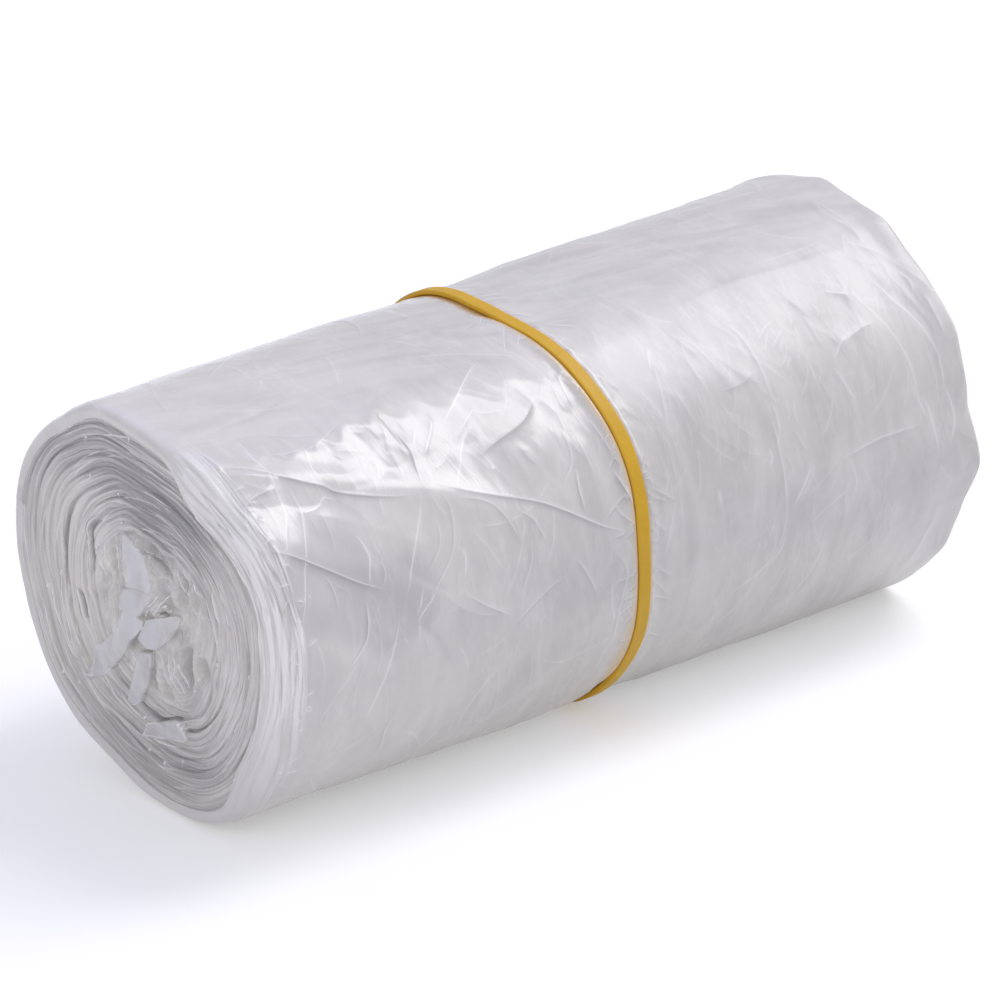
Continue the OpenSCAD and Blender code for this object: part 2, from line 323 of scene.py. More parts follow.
def long_folds(x, angle):
    """The folds that are long enough to be in the solid too, from 0 to about 1."""
    total = np.zeros(np.broadcast(x, angle).shape)
    for place, clock, heading, half in LONG_FOLDS:
        along = x - place * LENGTH / 2
        round_it = np.radians(apart(angle, clock)) * RADIUS
        c, s = math.cos(math.radians(heading)), math.sin(math.radians(heading))
        u, v = along * c + round_it * s, round_it * c - along * s
        total += np.exp(-(2 * v / FOLD_WIDTH) ** 2 - (u / half) ** 4)
    return total


def film_radius(x, angle):
    """The skin's radius, in mm, before the fine creases."""
    a = np.radians(angle)
    swell = np.sin(2 * a + np.radians(2.1 * x)) * np.sin(3 * a + np.radians(50 - 3.4 * x))
    folds = np.where(x > 0, FAR_FOLD_SHARE, 1) * FOLD_HEIGHT * long_folds(x, angle)
    free = (RADIUS * section(x, angle) + tail(angle) - BAND_BITE * groove(x)
            - WAIST_DEPTH * np.exp(-(x / WAIST_REACH) ** 2)
            + (1 - groove(x)) * (FILM_SLACK * swell + folds))
    return over_table(free, angle, AXIS_HEIGHT - GROOVE_FLOOR * groove(x))


def flare(angle, side):
    """The flaps and ears of film at a rim."""
    clocks, reach = zip(*(NEAR_FLARE if side < 0 else FAR_FLARE))
    return sum(np.interp((angle + k) % 360, clocks, reach) for k in (-1.5, 0, 1.5)) / 3


def over_table(radius, angle, room=AXIS_HEIGHT):
    """The table stops whatever would sink into it."""
    down = np.maximum(-np.sin(np.radians(angle)), 0.1)
    return np.where(-np.sin(np.radians(angle)) > 0.1, np.minimum(radius, room / down), radius)


def inland(x):
    """1 at mid-length and 0 at the rims."""
    return 1 - (2 * np.abs(x) / LENGTH) ** 2


def placed(x, angle, radius, shift=0.0):
    """Points in metres, in a section that leans and strays with the band near mid-length.
    shift is 0 at the rim and 1 in the heart of an end, which lies back and down."""
    a = np.radians(angle)
    up = radius * np.sin(a) - HEART_DROP * shift
    aside = BAND_STRAY * around(BAND_PATH, angle) - math.tan(math.radians(BAND_LEAN)) * up
    return np.stack([x + inland(x) * aside, AXIS_Y + radius * np.cos(a) + HEART_BACK * shift,
                     AXIS_HEIGHT + up], axis=-1) / 1000


print("radius at the top, in mm:", np.round(film_radius(np.array([-70.0, 0.0, 70.0]), 90.0), 2))

# %% [markdown]
# ## Noise and creases
# Film keeps every crease it has had. Two tools make them: a smooth noise for slack
# film, and a stroke, which raises a sharp ridge along a listed line. A stroke
# whose one flank falls away slowly tilts a whole facet of film, as a real fold does.

# %% Noise on a grid


def noise(seed, u, v, wrap=0):
    """Smooth noise of about -1 to 1, one cell for each whole number. wrap closes v."""
    rng = np.random.default_rng(seed)
    turn = rng.uniform(0, 2 * np.pi, (128, 128))
    i, j = np.floor(u).astype(int), np.floor(v).astype(int)
    fu, fv = u - i, v - j
    total = 0
    for di in (0, 1):
        for dj in (0, 1):
            row = (j + dj) % wrap if wrap else (j + dj) % 128
            t = turn[(i + di) % 128, row]
            su, sv = abs(1 - di - fu), abs(1 - dj - fv)
            wu, wv = (s ** 3 * (s * (6 * s - 15) + 10) for s in (su, sv))
            total = total + wu * wv * (np.cos(t) * (fu - di) + np.sin(t) * (fv - dj))
    return 1.6 * total


def crumple(seed, u, v, long_u, long_v):
    """Flat facets that meet in sharp creases, from 0 in a crease's foot to 1 on its crest."""
    sway_u = noise(seed, u / (2.5 * long_u), v / (1.4 * long_v))
    sway_v = noise(seed + 1, u / (3 * long_u), v / (1.5 * long_v))
    folded = noise(seed + 2, u / long_u + 0.55 * sway_u, v / long_v + 0.45 * sway_v)
    return 1 - 1.6 * np.abs(folded)


# %% Strokes that crease a surface


def flowing(points, steps=5):
    """A smooth open line through a few points."""
    p = np.array(points, float)
    p = np.vstack([2 * p[0] - p[1], p, 2 * p[-1] - p[-2]])
    line = []
    for k in range(1, len(p) - 2):
        line += [between(*p[k - 1:k + 3], t) for t in np.arange(steps) / steps]
    return np.array(line + [p[-2]])


# %% A surface to draw on
BLUNT = 0.15            # how blunt a crest is, in mm
FOLD_REACH = 0.55       # how far from a line its own crest and foot are drawn, in mm


class Surface:
    """Flat coordinates of a grid of points, with the relief and tints drawn on it."""

    def __init__(self, u, v, unlit=(-0.5, 0.85)):
        self.u, self.v = u, v
        # The direction in which a ridge has its painted dark foot.
        self.unlit = unlit
        self.relief = np.zeros(u.shape)
        self.tints = {}
        # The nearest fold line: how far off it is, how pale its crest, how dark the painted shade at its foot.
        self.fold = np.zeros((*u.shape, 3))
        # How strongly it and the next one claim each point, and which way it runs there.
        self.first, self.second = np.zeros((2, *u.shape))
        self.run = np.zeros(u.shape, complex)

    def tint(self, name):
        return self.tints.setdefault(name, np.zeros(self.u.shape))

    def fold_lines(self):
        """The fold field, faded out half-way between two lines, where it would jump."""
        clear = smooth(2.5 * (1 - self.second / np.maximum(self.first, 1e-6)))
        return self.fold * np.stack([np.ones(clear.shape), clear, clear], axis=-1)

    def near(self, line, reach):
        """The part of the grid around a line, as a slice of rows and columns."""
        low, high = line.min(0) - reach, line.max(0) + reach
        inside = ((self.u > low[0]) & (self.u < high[0])
                  & (self.v > low[1]) & (self.v < high[1]))
        rows, columns = np.nonzero(inside.any(1))[0], np.nonzero(inside.any(0))[0]
        if not len(rows) or not len(columns):
            return None
        return slice(rows[0], rows[-1] + 1), slice(columns[0], columns[-1] + 1)

    def measure(self, line, part):
        """How the points lie to a line: distance, side, share of the way along it, how far
        towards the dark they are, and the line's direction there as a complex number."""
        u, v = self.u[part], self.v[part]
        best = np.full(u.shape, 1e9)
        side, place, unlit = np.zeros((3, *u.shape))
        run = np.zeros(u.shape, complex)
        lengths = np.hypot(*np.diff(line, axis=0).T)
        total, start = max(lengths.sum(), 1e-6), 0.0
        for a, b, length in zip(line[:-1], line[1:], lengths):
            if length < 1e-9:
                continue
            d = (b - a) / length
            along = np.clip((u - a[0]) * d[0] + (v - a[1]) * d[1], 0, length)
            du, dv = u - a[0] - along * d[0], v - a[1] - along * d[1]
            far = np.hypot(du, dv)
            closer = far < best
            best = np.where(closer, far, best)
            side = np.where(closer, d[0] * dv - d[1] * du, side)
            place = np.where(closer, (start + along) / total, place)
            unlit = np.where(closer, self.unlit[0] * du + self.unlit[1] * dv, unlit)
            run = np.where(closer, d[0] + 1j * d[1], run)
            start += length
        return best, side, place, unlit, run

    def claim_fold(self, part, measured, fade, white, shade):
        """Store a line in the fold field, where no stronger line lies closer."""
        best, side, _, unlit, run = measured
        # The painted dark foot lies on the flank that looks away from the light.
        off = best * np.where(side > 0, 1, -1)
        if (unlit * off)[best < 1].sum() < 0:
            off = -off
        # A line that runs close alongside an earlier one gives way to it, because their
        # crests would be torn into beads where each in turn is the nearer one.
        first = self.first[part]
        alike = smooth((np.abs((run * self.run[part].conj()).real) - 0.6) / 0.2)
        reach = (fade * np.exp(-(best / FOLD_REACH) ** 2)
                 * (1 - alike * smooth((first - 0.02) / 0.06)))
        claim = (white + shade) * reach
        wins = claim > first
        self.run[part] = np.where(wins, run, self.run[part])
        self.second[part] = np.where(wins, first, np.maximum(claim, self.second[part]))
        self.first[part] = np.maximum(claim, first)
        mine = np.stack([np.clip(off, -2, 2), white * reach, shade * reach], axis=-1)
        self.fold[part] = np.where(wins[..., None], mine, self.fold[part])

    def stroke(self, points, height, left, right=None, white=0.0, white_width=0.35,
               tint="white", steps=5, ends=0.3, shade=0.0):
        """A ridge of that height. left and right are how fast its two flanks fall away."""
        right = left if right is None else right
        line = flowing(points, steps)
        part = self.near(line, 3.5 * max(left, right, white_width))
        if part is None:
            return
        measured = best, side, place, unlit, _ = self.measure(line, part)
        fade = smooth(place / ends) * smooth((1 - place) / ends)
        flank = np.where(side > 0, left, right)
        far = np.sqrt(best ** 2 + BLUNT ** 2) - BLUNT
        # Narrow flanks fall away ever more softly, and wide ones evenly.
        fall = np.where(flank > 6, np.clip(1 - far / flank, 0, 1), np.exp(-far / flank))
        self.relief[part] += height * fade * fall
        if tint == "white" and (white or shade):
            self.claim_fold(part, measured, fade, white, shade)
        if white:
            field = self.tint(tint)
            pale = 0.5 * white * fade * np.exp(-(best / white_width) ** 2)
            field[part] = np.maximum(field[part], pale)
        if shade:
            # Painted shade on the flank that looks away from the light.
            field = self.tint("shade")
            foot = (np.clip(unlit / np.maximum(best, 0.05), 0, 1)
                    * np.exp(-((best - 0.55) / 0.4) ** 2))
            field[part] = np.maximum(field[part], 0.6 * shade * fade * foot)


# %% [markdown]
# ## From a flat grid to a piece
# Film begins as a flat sheet, so each film piece begins as Blender's own grid. Its rows
# and columns are then moved to their places, and the doubles where the sheet meets
# itself are merged. Working on whole arrays keeps a hundred thousand points quick.

# %% A sheet whose points are moved


def sheet_from_grid(name, places, tints, outward, finish, node):
    """A grid primitive with one point for each place. places is rows by columns by 3."""
    rows, columns = places.shape[:2]
    bpy.ops.mesh.primitive_grid_add(x_subdivisions=columns - 1, y_subdivisions=rows - 1, size=1)
    piece = bpy.context.object
    piece.name = piece.data.name = name
    mesh = piece.data
    flat = np.empty(len(mesh.vertices) * 3)
    mesh.vertices.foreach_get("co", flat)
    flat = flat.reshape(-1, 3)
    column = np.rint((flat[:, 0] + 0.5) * (columns - 1)).astype(int)
    row = np.rint((flat[:, 1] + 0.5) * (rows - 1)).astype(int)
    mesh.vertices.foreach_set("co", places[row, column].ravel())
    for label, values in tints.items():
        kind, item = ("FLOAT_VECTOR", "vector") if values.ndim == 3 else ("FLOAT", "value")
        field = mesh.attributes.new(label, kind, "POINT")
        field.data.foreach_set(item, values[row, column].astype(np.float32).ravel())
    mesh.update()
    bpy.ops.object.mode_set(mode="EDIT")
    bpy.ops.mesh.select_all(action="SELECT")
    bpy.ops.mesh.remove_doubles(threshold=2e-6)
    bpy.ops.object.mode_set(mode="OBJECT")
    middle = mesh.polygons[len(mesh.polygons) // 2]
    if middle.normal.dot(outward(middle.center)) < 0:
        mesh.flip_normals()
    bpy.ops.object.shade_smooth()
    mesh.materials.append(finish)
    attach(piece, "root")
    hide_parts(node)
    bpy.ops.object.select_all(action="DESELECT")
    triangles = sum(len(p.vertices) - 2 for p in mesh.polygons)
    print(name, "points", len(mesh.vertices), "triangles", triangles)


# %% [markdown]
# ## The film's finish
# Bin bag film is a pale, milky plastic with a soft gloss. Seen close it is mottled:
# it is shinier where it lies tight, and creases show as paler lines. The base colour
# reads the crease lines from the mesh, and a fine crinkle goes into the bump.

# %% The skin's material
FILM_PALE, FILM_GREY = (0.685, 0.666, 0.645), (0.545, 0.530, 0.514)
FILM_WHITE, FILM_MILKY = (0.91, 0.895, 0.88), (0.86, 0.83, 0.80)
FILM_SHADE, FILM_VALLEY_SHADE = (0.30, 0.295, 0.30), (0.50, 0.495, 0.50)
BAND_GLOW = (0.74, 0.46, 0.10)


def crease_lines(g):
    """The stored fold lines, drawn far finer than the points lie: crest, painted shade of the foot, and height.
    """
    off, pale, dark = g.split(g.attribute("fold", "Vector"))
    # The crest is 0.3 mm wide, and the painted shade of the foot lies 0.36 mm down its dark side.
    crest = (1 - off * off * 45).clamped() * pale
    foot = (1 - (off - 0.36) * (off - 0.36) * 14).clamped() * dark
    return crest, foot, (1 - abs(off) * 2.4).clamped() * (pale + dark)


film_skin, g = material("film_skin")
where = g.add("ShaderNodeTexCoord", output="Object")
along = g.split(where)[0]
broad = g.noise(g.scaled(where, (0.7, 1.0, 1.0)), 55, 3, 0.55, 0.6)
mottle = g.noise(where, 420, 4, 0.6, 0.4)
# Milkier sweeps: slanted along the top, and round the roll lower down. They lie on the
# film as if it were unrolled: u and v in mm, and lip, which is 1 on the slid turns.
unrolled = g.attribute("unrolled", "Vector")
u, v, lip = g.split(unrolled)
upper = ((72 - v) * 0.1).clamped()
slant = g.add("ShaderNodeCombineXYZ", {0: u * 0.05 + v * 0.012, 1: v * 0.19 - u * 0.05})
sweep = g.noise(slant, 1.0, 4, 0.55, 0.9) * upper
sweep = sweep + g.noise(g.scaled(unrolled, (0.14, 0.04, 0)), 1.0, 4, 0.55, 0.8) * (1 - upper)
paleness = (broad * 0.45 + mottle * 0.25 + sweep * 0.9 - 0.56) * 2.6
skin = g.colours(paleness.clamped(), FILM_GREY, FILM_PALE)
# The turns that end near the lip lie more loosely, and look milkier.
skin = g.colours(((-15 - u) * 0.025).clamped() * 0.3, skin, FILM_MILKY)

# %% Its finest lines
# The finest creases: thin lines where a stretched noise crosses its middle, in patches.
wisp = g.noise(g.scaled(unrolled, (0.30, 0.075, 0)), 1.0, 2, 0.5, 0.6) - 0.5
patch = ((g.noise(g.scaled(unrolled, (0.10, 0.06, 0)), 1.0, 1, 0.5) - 0.42) * 6).clamped()
wisp = (1 - abs(wisp) * 26).clamped() * patch
# The slid turns: crisp lines that run round the lip, with pale plies that are painted highlights and gaps
# between them that are painted shade.
plies = g.noise(g.scaled(unrolled, (1.3, 0.035, 0)), 1.0, 3, 0.65, 0.3)
slit = g.noise(g.scaled(unrolled, (0.5, 0.022, 0)), 1.0, 2, 0.5, 0.5) - 0.5
gap = ((1 - abs(slit) * 34).clamped() + ((0.42 - plies) * 9).clamped() * 0.6) * lip
plies = ((plies - 0.5) * 11 + 0.55).clamped() * lip
# Film beyond the band was handled more: its gloss and its creases are softer there.
looser = (along * 300 + 0.5).clamped()
crest, foot, fold_height = (line * (1 - looser * 0.45) for line in crease_lines(g))

# Paler creases, with painted highlights on the slid plies and on the strip beside the band.
skin = g.colours((g.attribute("white") + plies * 0.9).clamped(), skin, FILM_WHITE)
# Painted yellow light from the band on the film beside it.
skin = g.colours(g.attribute("band_glow"), skin, BAND_GLOW)
# Painted shade in the valleys of the relief.
skin = g.colours(g.attribute("valley"), skin, FILM_VALLEY_SHADE)
# Painted shade at the feet of creases and in the gaps between the slid plies.
skin = g.colours((g.attribute("shade") + foot + gap * 0.52).clamped(), skin, FILM_SHADE)
skin = g.colours((crest * 1.5 + wisp * 0.14).clamped(), skin, FILM_WHITE)

# %% Its shader
crinkle = g.noise(g.scaled(where, (1.0, 0.4, 0.4)), 420, 2, 0.5, 0.8)
gathers = g.noise(g.scaled(where, (0.12, 1.0, 1.0)), 1500, 2, 0.5, 0.3) * g.attribute("by_band")
bump = g.add("ShaderNodeBump", {
    "Strength": 0.5, "Distance": 0.00008,
    "Height": crinkle * 0.6 + gathers * 2.0 + fold_height * 1.6 + wisp * 0.5 + plies * 1.5})
shader = g.add("ShaderNodeBsdfPrincipled", {
    "Base Color": skin,
    "Roughness": 0.17 + mottle * 0.1 + looser * 0.22,
    "IOR": 1.48,
    "Coat Weight": 0.55 + looser * 0.15,
    "Coat Roughness": 0.36,
    "Coat IOR": 1.5,
    "Normal": bump})
g.add("ShaderNodeOutputMaterial", {"Surface": shader})

# %% [markdown]
# ## The skin
# The outer turn of film covers the side and folds over both rims. It is made in two
# halves that meet under the band, and each half in a front and a back sheet. Each row
# of points runs along the roll: over the rim from inside, round the lip, and along the
# side. On the camera's side of the near rim the outer turns have slid, so the lip there
# is wide and full of nested folds.

# %% Creases read off the roll
# Each line holds a kind and its points: millimetres along the roll, and a clock
# position. t is a thin pale line, m a soft ridge, s a strong one, f a facet's edge, w, c,
# e and g wide slopes beside an edge, v a valley, d a wide one, b the painted highlight of
# the strip beside the band.
CREASES = """
w -71,118 -67,121 -62,126
c -84,113 -70,114 -65,118 -62,116 -59,121 -56,119 -53,121 -51,117 -48,121 -45,116 -41,119 -38,114 -35,119 -28,116
e -44,117 -39,115 -34,120 -30,115 -26,121 -22,118 -16,125 -12,119 -6,122 0,116
g 26,115 33,114 41,113 50,114 62,114 70,115
d -73,143 -68,149 -62,155 -56,161 -48,169 -42,175
b 2.4,98 2.5,110 2.4,125 2.3,137 2.4,150 2.3,163
t 2.4,160 2.2,180 2.4,200 2.2,222
s -72,113 -67,118 -60,127 -56,131 -54,134 -47,139 -40,142
t -63,101 -63,108 -64,116 -64,122 -65,134 -68,142 -71,150 -72,154
t -62,125 -62,134 -63,139 -66,149 -68,157 -71,167
s -39,140 -38,135 -37,130 -37,122
m -40,117 -39,121 -40,125 -41,129
m -38,137 -38,133 -35,127 -33,123
s -30,120 -30,124 -33,129 -36,134
t -54,116 -55,121 -56,126 -55,130
t -55,117 -56,122 -57,127 -58,129
s -73,141 -69,145 -65,149 -57,158 -51,163
f -62,128 -66,127 -70,128 -72,134 -73,141
t -63,136 -59,136 -57,134 -55,136
t -55,145 -54,152 -55,157 -55,162
t -40,141 -42,147 -45,154 -49,167
m -63,153 -62,158 -62,164
m -52,154 -52,158 -53,162
m -39,149 -40,155 -42,159 -44,162
v -49,167 -46,172 -44,176
t -43,166 -46,172 -47,175
v -72,101 -62,99 -55,99 -44,94
v -41,114 -34,109 -28,106
m -63,115 -60,117 -53,119 -48,116 -43,113
t -35,145 -33,143 -30,138 -28,134 -24,128
m -37,141 -36,148 -38,158 -43,166 -45,170
s -38,139 -30,146 -18,154 -7,165 0,170
m -35,145 -30,148 -27,152 -24,163
m -24,153 -21,157 -20,161 -19,165
t -37,158 -36,160 -37,166
f -27,138 -21,135 -14,132 -8,125
t -25,142 -24,141
m -13,152 -9,146 -8,137
m -6,140 -6,147 -6,153
m -2,136 -1,147 0,154
s -9,148 -10,154 -10,160
s -2,152 -1,157 0,163
m -4,161 -2,165 0,168
m -23,163 -23,167 -26,175
v -48,152 -47,159 -44,164 -39,169
m -38,169 -34,174 -28,180
v -49,168 -47,172 -42,182 -39,193
m -29,183 -25,180 -20,176 -16,174
m -14,170 -11,178 -9,185
m -6,171 -3,179 -4,189 -4,202 -7,209
s -37,122 -37,129 -38,140
t -29,127 -25,122 -16,112 -12,109
m -29,133 -26,129 -20,123
m -8,127 -7,134 -8,141 -9,145
m -4,123 -5,130 -5,134
s -2,121 -3,130 -3,134
m -6,144 -6,150 -6,154
m 6,119 5,125 6,132
m 6,132 6,137 6,141
t 17,123 14,131
m 18,121 15,131 13,140 10,152
m 22,122 25,128 26,139
m 30,122 32,126 33,130 32,138
s 32,121 34,128 34,138 33,151
s 32,150 32,159 32,169 32,181
f 24,142 28,142 31,141 32,140
m 33,163 34,166 34,170
t 38,166 38,169 36,173 33,179
t 30,160 30,163 29,165
m 37,142 40,139 42,134
m 36,133 39,130 42,128
m 38,136 42,132 43,131
m 44,132 46,129
m 51,127 51,130 50,132
m 48,131 48,136 48,140
s 54,124 56,126 60,129
t 48,145 49,149 50,154 51,157
s 49,144 52,140 54,139
m 8,156 8,160 6,165
t 18,166 18,169 18,171
m 10,154 10,158 10,161
t -66,149 -67,157 -69,162 -73,173 -74,177
s -56,163 -57,172 -59,176 -62,180
t -50,169 -51,175 -55,190 -57,201
t -45,163 -46,168 -47,180
v -47,172 -44,178 -41,187 -38,195
m -71,156 -73,159
m -64,187 -66,191 -67,194
m -49,197 -51,206 -51,216 -58,224
t 60,122 60,130 62,139 64,151 64,164
t 64,122 66,133 68,140 70,151 70,166
m 68,124 69,133 69,137
s 70,126 71,131 70,135
s 72,134 72,139 72,148
m 73,134 74,137 74,142
v 72,98 72,106 72,111
v 55,124 57,126 60,129
s 56,126 58,128 59,131
f 61,138 58,138 55,139 52,141 50,144
m 46,127 45,132
m 48,132 48,137 48,141
m 40,130 36,137
m 42,133 39,138
t 41,139 39,142
m 46,110 51,110 58,110 64,109
m 64,110 68,117 71,122
t 63,155 64,161 65,167
t 65,160 66,166 67,178
t 70,158 71,169 69,177
s 44,170 53,168 58,168 65,168
m 47,171 48,177 47,182
v 50,179 56,186 63,193
s 33,148 33,156 31,162
m 36,157 37,161 38,165
s 39,166 38,171 34,179
m 32,167 32,179 30,191 24,200
m 48,178 42,181 36,186
m 9,164 7,172 5,181
t 32,181 31,191 24,199 21,202
"""

# %% What each kind of crease is
# Height, the two flanks, the paleness and the painted shade of each kind.
KINDS = {"t": (0.07, 0.40, 0.40, 0.55, 0.0), "m": (0.09, 0.8, 1.0, 0.24, 0.20),
         "s": (0.18, 0.6, 1.6, 0.46, 0.4), "f": (0.36, 0.5, 3.5, 0.24, 0.3),
         "v": (-0.24, 1.0, 1.4, 0.0, 0.0), "b": (0.10, 0.5, 0.5, 0.9, 0.0),
         "w": (0.6, 6.5, 1.2, 0.0, 0.0), "c": (1.5, 8.5, 6.5, 0.0, 0.0),
         "e": (0.45, 7.5, 6.5, 0.0, 0.0), "g": (0.3, 6.5, 0.8, 0.0, 0.0),
         "d": (-1.5, 12.0, 10.0, 0.0, 0.0)}
# Millimetres round the roll for each degree of clock.
ROUND = math.radians(1) * 36
# Creases beyond the band are softer.
FAR_SOFT = 0.6
# Where the painted highlight strip beside the band runs, in mm along the roll.
STRIP = 2.3


def draw_creases(film):
    """The creases seen on the roll."""
    for line in CREASES.strip().split("\n"):
        kind, *points = line.split()
        places = [[float(value) for value in p.split(",")] for p in points]
        # The roll's form strays with the band, and the strip beside the band with it. The
        # other lines are set back, to where they show.
        places = [(u - (abs(u - STRIP) > 0.5) * inland(u) * BAND_STRAY * around(BAND_PATH, clock),
                   clock * ROUND) for u, clock in places]
        height, left, right, white, shade = KINDS[kind]
        soft = FAR_SOFT if places[0][0] > 4 else 1
        film.stroke(places, height * soft, left, right, white, shade=shade * soft)


def draw_more(film, seed, count, clock, along, kinds, lean=25.0, length=(6, 22)):
    """Creases of the same kinds where no picture shows them, or too fine to place. clock
    and along are the ranges that they begin in, and lean is how many degrees they stray from
    a course straight round the roll."""
    rng = np.random.default_rng(seed)
    for _ in range(count):
        u, angle = rng.uniform(*along), rng.uniform(*clock)
        heading = math.radians(90 + rng.normal(0, lean))
        reach, bend = rng.uniform(*length), rng.uniform(-0.5, 0.5)
        v, points = angle * ROUND, []
        for _ in range(4):
            points.append((u, v))
            u += math.cos(heading) * reach / 3
            v += math.sin(heading) * reach / 3
            heading += bend
        height, left, right, white, shade = KINDS[rng.choice(list(kinds))]
        size = rng.uniform(0.4, 1.0)
        film.stroke(points, 0.8 * height * size, left, right, 0.5 * white * size, steps=3,
                    shade=0.5 * shade * size)


print("creases placed by hand:", CREASES.strip().count("\n") + 1)

# %% Slack film and puckers
# Where the film is drawn smooth: along the roll, clock position and their half sizes.
CALM = [(-57, 141, 10, 12), (-68, 124, 6, 9), (-52, 178, 14, 20), (-46, 123, 9, 5),
        (55, 172, 14, 14)]


def slack_film(film, side, angle):
    """Broad swells, and facets that meet in creases, mostly round the roll."""
    u, v = film.u, film.v
    lively = (0.4 + 0.6 * smooth((angle - 100) / 22)) * (0.7 if side > 0 else 1)
    for place, clock, wide, tall in CALM:
        calm = np.exp(-((u - place) / wide) ** 4 - ((angle - clock) / tall) ** 4)
        lively = lively * (1 - 0.85 * calm)
    patchy = smooth(0.5 + 0.9 * noise(14, u / 15, v / 19))
    film.relief += 0.16 * noise(11, u / 19, v / 15) + 0.05 * noise(12, u / 7 + v / 40, v / 15)
    film.relief += lively * (0.12 * crumple(15, u + 0.25 * v, v, 8, 22)
                             + (0.015 + 0.035 * patchy) * crumple(18, u - 0.15 * v, v, 3.2, 10)
                             + (0.01 + 0.02 * patchy) * crumple(22, u + 0.1 * v, v, 1.5, 5.5))
    if side > 0:
        # The far half bulges a little on the camera's side.
        film.relief += (0.8 * np.exp(-((angle - 144) / 14) ** 2)
                        * smooth((u - 3) / 12) * smooth((74 - u) / 16))


def puckers(film, side, rng):
    """Short creases that fan out from the band."""
    for _ in range(220 if side > 0 else 90):
        at, off = rng.uniform(15, 374), rng.uniform(1.5, 2.0)
        reach = rng.uniform(0.9, 2.2) if rng.random() < 0.7 else rng.uniform(2, 7)
        spread = rng.normal(1.1, 0.6) * reach / 1.5
        places = [(side * (off + reach * k / 2), at * ROUND + spread * k / 2) for k in range(3)]
        film.stroke(places, rng.uniform(0.04, 0.13), 0.3, 0.5, 0.2 + 0.15 * (side > 0),
                    steps=3, shade=0.25)


# %% The rims


def slid_lip(angle, side):
    """1 where the outer turns of the near end have slid out, on the camera's side."""
    return smooth((angle - 96) / 24) * smooth((240 - angle) / 24) * (side < 0)


def slid_turns(film, slid, angle, rng):
    """The slid turns lie over each other like steps, with short nicks outside them."""
    u, v = film.u, film.v
    steps = ((-u - 69.4 + 1.6 * noise(24, u / 6, v / 22) + 0.025 * (v - 90)) / 1.35
             + 0.5 * noise(27, u / 2.4, v / 35))
    ply = np.floor(steps)
    part = steps - ply
    shown = slid * smooth(-(u + 70.0) / 0.8)
    film.relief += ((0.3 + 0.2 * noise(28, ply * 1.7, v / 18)) * shown
                    * (smooth(part / 0.18) * (1 - part)))
    # Painted highlights: a pale band along each slid ply, fainter low down.
    painted_sheen = 0.45 + 0.5 * noise(25, ply * 3.7 + 0.5, v / 16 + 0.37 * ply)
    painted_sheen = np.clip(painted_sheen, 0, 0.8) * (0.4 + 0.6 * smooth((212 - angle) / 26))
    tint = film.tint("white")
    tint[:] = np.maximum(tint, shown * painted_sheen * smooth(part / 0.15) * smooth((1 - part) / 0.3))
    for _ in range(26):
        at, place = rng.uniform(112, 215), rng.uniform(-72.5, -69.5)
        film.stroke([(place, at * ROUND),
                     (place + rng.uniform(0.8, 2.2), at * ROUND + rng.normal(0, 0.6))],
                    0.14, 0.3, 0.3, 0.6, 0.3, steps=2)


def far_rim(film, rng):
    """Creases that run round the far rim."""
    for _ in range(16):
        at, place = rng.uniform(20, 370), rng.uniform(66, 75)
        film.stroke([(place + rng.normal(0, 0.6), (at + k * 9) * ROUND) for k in range(5)],
                    0.25, 0.5, 1.6, 0.2)


def creased_film(film, side, slid, angle):
    """All the relief and tints of one half of the skin."""
    slack_film(film, side, angle)
    draw_creases(film)
    along = (3, 72) if side > 0 else (-72, -3)
    draw_more(film, 21 + side, 70, (100, 235), along, "ttmm")
    draw_more(film, 31 + side, 26, (108, 142), along, "mms", 18, (4, 11))
    draw_more(film, 41 + side, 20, (45, 105), along, "tm", 50)
    if side > 0:
        draw_more(film, 45, 70, (112, 152), (6, 70), "tt", 12, (4, 13))
    draw_more(film, 51 + side, 110, (235, 375), along, "ttmmsf", 35)
    draw_more(film, 61 + side, 40, (15, 60), along, "ttmms", 35)
    rng = np.random.default_rng(71 + side)
    puckers(film, side, rng)
    if side < 0:
        slid_turns(film, slid, angle, rng)
    else:
        far_rim(film, rng)


# %% Rows and columns of the skin
LAND_COLUMNS, LIP_COLUMNS, SIDE_COLUMNS = 12, 38, 180


def skin_profile(side, slid):
    """The skin in lengthwise section: over the rim from inside, round the lip and along the
    side. It gives the depth from the end, how far inside the lip and how far down its curl
    each point lies, the way that it faces, and its place along the unrolled film."""
    lip_long, lip_deep = 3.5 + 2.5 * slid, LIP_INSET + 2.8 * slid
    land = 1.6 + 0.6 * slid
    column = np.arange(LAND_COLUMNS + LIP_COLUMNS + SIDE_COLUMNS)[None, :]
    inward = land * np.clip(1 - column / LAND_COLUMNS, 0, 1)
    turn = np.clip((column - LAND_COLUMNS) / LIP_COLUMNS, 0, 1) * np.pi / 2
    share = np.clip((column - LAND_COLUMNS - LIP_COLUMNS) / (SIDE_COLUMNS - 1), 0, 1)
    run = (LENGTH / 2 - lip_long) * share
    depth = 0.7 * (inward / land) ** 2 + lip_long * (1 - np.cos(turn)) + run
    norm = np.hypot(lip_deep * np.cos(turn), lip_long * np.sin(turn))
    facing = side * lip_deep * np.cos(turn) / norm, lip_long * np.sin(turn) / norm
    lip_arc = np.pi / 2 * np.sqrt((lip_long ** 2 + lip_deep ** 2) / 2)
    unrolled = side * (LENGTH / 2 - lip_long - run + lip_arc * (1 - 2 * turn / np.pi) + inward)
    return depth, inward, lip_deep * (1 - np.sin(turn)), facing, unrolled


